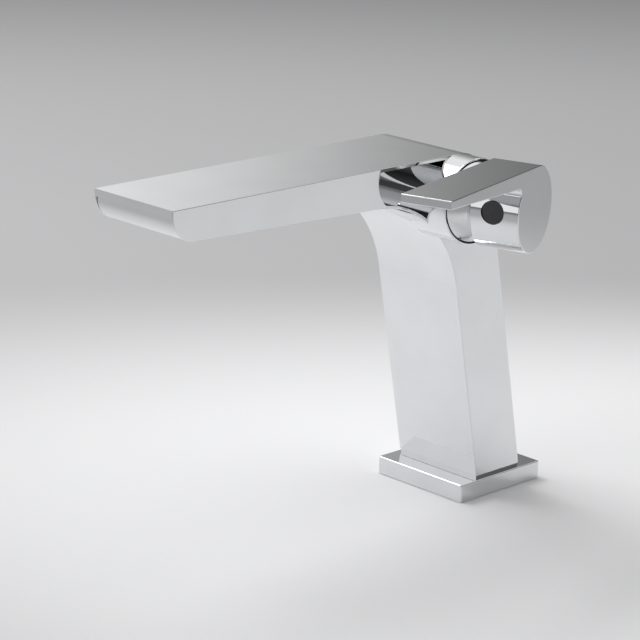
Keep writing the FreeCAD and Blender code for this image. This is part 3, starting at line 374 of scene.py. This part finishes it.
class FAUCET_OT_cartridge(bpy.types.Operator):
    """Gives the cartridge's casing, discs, rotor, stop and nut their finishes"""

    bl_idname = "faucet.cartridge"
    bl_label = "Cartridge"

    def execute(self, context):
        settings = context.scene.faucet_finish
        dress(["cartridge_base", "cartridge_shell"],
              moulded_plastic("cartridge_acetal", tuple(settings.acetal)))
        dress(["disc_carrier", "cartridge_rotor"],
              moulded_plastic("carrier_acetal", tuple(settings.carrier)))
        dress(["temperature_stop"], moulded_plastic("stop_acetal", tuple(settings.stop)))
        dress(["fixed_disc", "moving_disc"], lapped_ceramic("disc_ceramic", tuple(settings.ceramic)))
        dress(["cartridge_nut"], turned_brass("cartridge_nut_brass", tuple(settings.brass)))
        dress(["lever_stem"], turned_brass("stem_brass", tuple(settings.stem)))
        return {"FINISHED"}


class FAUCET_OT_fasteners(bpy.types.Operator):
    """Gives the screws, pin, washer and nut their finishes"""

    bl_idname = "faucet.fasteners"
    bl_label = "Fasteners"

    def execute(self, context):
        settings = context.scene.faucet_finish
        dress(["outlet_screws", "grub_screw", "stem_pin", "mounting_stud"],
              drawn_steel("fastener_steel", tuple(settings.steel)))
        dress(["horseshoe_washer"], drawn_steel("washer_zinc", tuple(settings.washer), (0.06, 1.0, 1.0)))
        dress(["mounting_nut"], turned_brass("clamp_nut_brass", tuple(settings.brass)))
        return {"FINISHED"}


class FAUCET_OT_stud_thread(bpy.types.Operator):
    """Builds the mounting stud with its real thread and the slot in its end"""

    bl_idname = "faucet.stud_thread"
    bl_label = "Threaded stud"

    def execute(self, context):
        settings = context.scene.faucet_parts
        middle = (stud_low + stud_high) / 2
        radius = (stud_high.x - stud_low.x) / 2
        rod = self.threaded_rod(middle, radius, settings)
        cutter = self.slot_block(middle, radius, settings)
        finish = drawn_steel("stud_steel", tuple(context.scene.faucet_finish.steel))
        piece = add_piece("stud_thread", self.cut(rod, cutter), finish, "faucet")
        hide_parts("mounting_stud")
        return {"FINISHED"}

    def threaded_rod(self, middle, radius, settings):
        """A grid of points round the stud whose radius follows a screw line, closed at both ends."""
        around, per_turn, flank = 40, 8, 2.4
        length = stud_high.z - stud_low.z
        rows = round(length / settings.thread_pitch * per_turn)
        run_out = settings.thread_pitch * 0.8
        rod = bmesh.new()
        rings = []
        for row in range(rows + 1):
            z = stud_low.z + length * row / rows
            ends = min(z - stud_low.z, stud_high.z - z)
            ring = []
            for step in range(around):
                angle = 2 * math.pi * step / around
                phase = (row / per_turn - step / around) % 1.0
                depth = settings.thread_depth * (1 - min(1.0, flank * abs(phase - 0.5)))
                taper = settings.thread_depth * max(0.0, 1 - ends / run_out)
                r = radius - max(depth, taper)
                x, y = middle.x + r * math.cos(angle), middle.y + r * math.sin(angle)
                ring.append(rod.verts.new((x, y, z)))
            rings.append(ring)
        for low, high in zip(rings, rings[1:]):
            for step in range(around):
                after = (step + 1) % around
                rod.faces.new((low[step], low[after], high[after], high[step]))
        rod.faces.new(reversed(rings[0]))
        rod.faces.new(rings[-1])
        return rod

    def slot_block(self, middle, radius, settings):
        block = bmesh.new()
        bmesh.ops.create_cube(block, size=1.0)
        size = Vector((radius * 3, settings.slot_width, settings.slot_depth * 2))
        bmesh.ops.transform(block, verts=block.verts, matrix=Matrix.Translation(
            (middle.x, middle.y, stud_low.z)) @ Matrix.Diagonal((*size, 1.0)))
        return block

    def cut(self, body, cutter):
        """The first mesh with the second one taken away."""
        objects = []
        for name, source in (("stud_body", body), ("stud_cutter", cutter)):
            mesh = bpy.data.meshes.new(name)
            source.to_mesh(mesh)
            source.free()
            item = bpy.data.objects.new(name, mesh)
            bpy.context.scene.collection.objects.link(item)
            objects.append(item)
        modifier = objects[0].modifiers.new("slot", "BOOLEAN")
        modifier.operation = "DIFFERENCE"
        modifier.object = objects[1]
        view = bpy.context.evaluated_depsgraph_get()
        result = bpy.data.meshes.new_from_object(objects[0].evaluated_get(view))
        for item in objects:
            bpy.data.objects.remove(item)
        return result


# A nozzle's section, from inside its hole round the lip to the plate: radius in bores, level in heights
LIP_PROFILE = ((1.0, 0.1), (1.0, -0.75), (1.12, -0.97), (1.3, -1.0), (1.48, -0.9),
               (1.62, -0.5), (1.8, -0.12), (2.0, 0.02))


class FAUCET_OT_nozzles(bpy.types.Operator):
    """Adds the soft nozzle that stands round each hole of the nozzle plate"""

    bl_idname = "faucet.nozzles"
    bl_label = "Nozzles"

    def execute(self, context):
        settings = context.scene.faucet_parts
        middle = (nozzle_low + nozzle_high) / 2
        nozzles = bmesh.new()
        for row in range(settings.nozzle_rows):
            y = middle.y + (row - (settings.nozzle_rows - 1) / 2) * settings.nozzle_pitch_y
            for column in range(settings.nozzle_columns):
                x = middle.x + (column - (settings.nozzle_columns - 1) / 2) * settings.nozzle_pitch_x
                self.add_nozzle(nozzles, Vector((x, y, nozzle_low.z)), settings)
        mesh = bpy.data.meshes.new("nozzles")
        nozzles.to_mesh(mesh)
        nozzles.free()
        silicone = tuple(context.scene.faucet_finish.silicone)
        finish = soft_rubber("nozzle_lip_silicone", shade(silicone, 1.15), SILICONE_GRAIN)
        add_piece("nozzle_lips", mesh, finish, "faucet")
        return {"FINISHED"}

    def add_nozzle(self, nozzles, place, settings):
        """A short ring with a rounded lip, closed against the plate."""
        steps = 18
        rings = []
        for width, level in LIP_PROFILE:
            radius, z = settings.nozzle_bore * width, settings.nozzle_height * level
            ring = []
            for step in range(steps):
                angle = 2 * math.pi * step / steps
                corner = Vector((radius * math.cos(angle), radius * math.sin(angle), z))
                ring.append(nozzles.verts.new(place + corner))
            rings.append(ring)
        rings.append(rings[0])
        for low, high in zip(rings, rings[1:]):
            for step in range(steps):
                after = (step + 1) % steps
                nozzles.faces.new((low[step], high[step], high[after], low[after]))


# ---------------------------------------------------------------- studio


class FAUCET_OT_studio(bpy.types.Operator):
    """Adds the floor, the soft light and the camera"""

    bl_idname = "faucet.studio"
    bl_label = "Studio"

    def execute(self, context):
        settings = context.scene.faucet_studio
        self.add_floor(settings)
        self.add_lamp(settings)
        self.set_world()
        self.add_camera(context.scene, settings)
        context.scene.view_settings.view_transform = "Standard"
        return {"FINISHED"}

    def add_floor(self, settings):
        floor = bmesh.new()
        bmesh.ops.create_circle(floor, cap_ends=True, radius=settings.floor_radius, segments=96,
                                matrix=Matrix.Translation((0, 0, -settings.floor_drop)))
        mesh = bpy.data.meshes.new("floor")
        floor.to_mesh(mesh)
        floor.free()
        mesh.materials.append(self.floor_painted_pool(settings).material)
        piece = bpy.data.objects.new("floor", mesh)
        bpy.context.scene.collection.objects.link(piece)

    def floor_painted_pool(self, settings):
        """Matt paper, pale in a painted pool of light round the faucet and darker away from it in painted
        shade.
        """
        middle, turn, width = (0.26, 0.14, 0.0), math.radians(34.6), 0.52
        finish = Finish("floor_painted_pool", Roughness=0.85, Specular_IOR_Level=0.2)
        pool = finish.node("ShaderNodeMapping", {
            "Vector": finish.place, "Location": middle, "Rotation": (0.0, 0.0, turn),
            "Scale": (1.0, width, 1.0)}, vector_type="TEXTURE").outputs["Vector"]
        away = finish.node("ShaderNodeVectorMath", {0: pool}, operation="LENGTH").outputs["Value"]
        grain = finish.ramp(finish.noise(900.0, 3.0, 0.6), 0.2, 0.8, 0.0, 0.03)
        # Painted shade that grows away from the painted pool of light, plus the paper's own faint grain
        near = finish.add(finish.ramp(away, 0.36, 0.80, 0.0, 0.58), grain)
        # More painted shade far out, where the floor fades to grey
        far = finish.ramp(away, 1.6, 3.2, 0.0, 0.3)
        finish.colour(finish.add(near, far), tuple(settings.floor), tuple(settings.floor_painted_shade))
        return finish

    def add_lamp(self, settings):
        lamp = bpy.data.lights.new("key", "AREA")
        lamp.size, lamp.energy = settings.key_size, settings.key_power
        item = bpy.data.objects.new("key", lamp)
        item.location = settings.key_place
        item.rotation_euler = (-item.location).to_track_quat("-Z", "Y").to_euler()
        bpy.context.scene.collection.objects.link(item)

    def set_world(self):
        """A soft bright sky above and on the left, dim at the back, on the right and behind the camera."""
        world = bpy.data.worlds.new("studio")
        world.use_nodes = True
        bpy.context.scene.world = world
        tree = world.node_tree
        place = add_node(tree, "ShaderNodeTexCoord", {}).outputs["Generated"]

        def toward(direction, low, high, to_low, to_high):
            """A level that changes with the angle from a direction."""
            part = add_node(tree, "ShaderNodeVectorMath", {0: place, 1: direction}, operation="DOT_PRODUCT")
            return add_ramp(tree, part.outputs["Value"], low, high, to_low, to_high)

        def both(operation, first, second):
            return add_node(tree, "ShaderNodeMath", {0: first, 1: second},
                            operation=operation).outputs["Value"]

        left, overhead, front = (-0.707, -0.707, 0.0), (0.0, 0.0, 1.0), (0.66, -0.64, 0.39)
        dim, bright, full, dark = 0.15, 0.95, 1.0, 0.10
        sky = both("MAXIMUM", toward(left, -0.12, 0.16, dim, bright),
                   toward(overhead, 0.42, 0.80, 0.0, full))
        level = both("MULTIPLY", sky, toward(front, 0.72, 0.93, full, dark))
        tree.links.new(level, tree.nodes["Background"].inputs["Color"])

    def add_camera(self, scene, settings):
        """Aims the camera at the faucet's foot, then moves it within its own picture plane."""
        azimuth, elevation, roll = settings.camera_azimuth, settings.camera_elevation, settings.camera_roll
        level = math.cos(elevation)
        back = Vector((math.sin(azimuth) * level, -math.cos(azimuth) * level, math.sin(elevation)))
        right = Vector((math.cos(azimuth), math.sin(azimuth), 0.0))
        up = back.cross(right)
        across = math.cos(roll) * right + math.sin(roll) * up
        above = math.cos(roll) * up - math.sin(roll) * right
        lens = bpy.data.cameras.new("camera")
        lens.lens, lens.sensor_width = settings.camera_lens, SENSOR_WIDTH
        camera = bpy.data.objects.new("camera", lens)
        place = (across * settings.camera_shift_x + above * settings.camera_shift_y
                 + back * settings.camera_distance)
        turn = Matrix((across, above, back)).transposed().to_4x4()
        camera.matrix_world = Matrix.Translation(place) @ turn
        scene.collection.objects.link(camera)
        scene.camera = camera


class FAUCET_PT_panel(bpy.types.Panel):
    """Lists the faucet's settings and steps."""

    bl_idname = "FAUCET_PT_panel"
    bl_label = "Basin faucet"
    bl_space_type = "VIEW_3D"
    bl_region_type = "UI"
    bl_category = "Faucet"

    def draw(self, context):
        for group in SETTINGS:
            box = self.layout.box()
            for name in group.bl_rna.properties.keys():
                if name not in ("rna_type", "name"):
                    box.prop(getattr(context.scene, SETTINGS[group]), name)
        for step in STEPS:
            self.layout.operator(step.bl_idname)


SETTINGS = {
    FaucetFinishSettings: "faucet_finish",
    FaucetPartSettings: "faucet_parts",
    FaucetStudioSettings: "faucet_studio",
}
STEPS = (FAUCET_OT_spout, FAUCET_OT_lever, FAUCET_OT_seals, FAUCET_OT_cartridge, FAUCET_OT_fasteners,
         FAUCET_OT_stud_thread, FAUCET_OT_nozzles, FAUCET_OT_studio)


def register():
    for item in (*SETTINGS, *STEPS, FAUCET_PT_panel):
        bpy.utils.register_class(item)
    for group, name in SETTINGS.items():
        setattr(bpy.types.Scene, name, PointerProperty(type=group))


def unregister():
    for name in SETTINGS.values():
        delattr(bpy.types.Scene, name)
    for item in reversed((*SETTINGS, *STEPS, FAUCET_PT_panel)):
        bpy.utils.unregister_class(item)


def main():
    register()
    for step in STEPS:
        group, name = step.bl_idname.split(".")
        getattr(getattr(bpy.ops, group), name)()


if __name__ == "__main__":
    main()
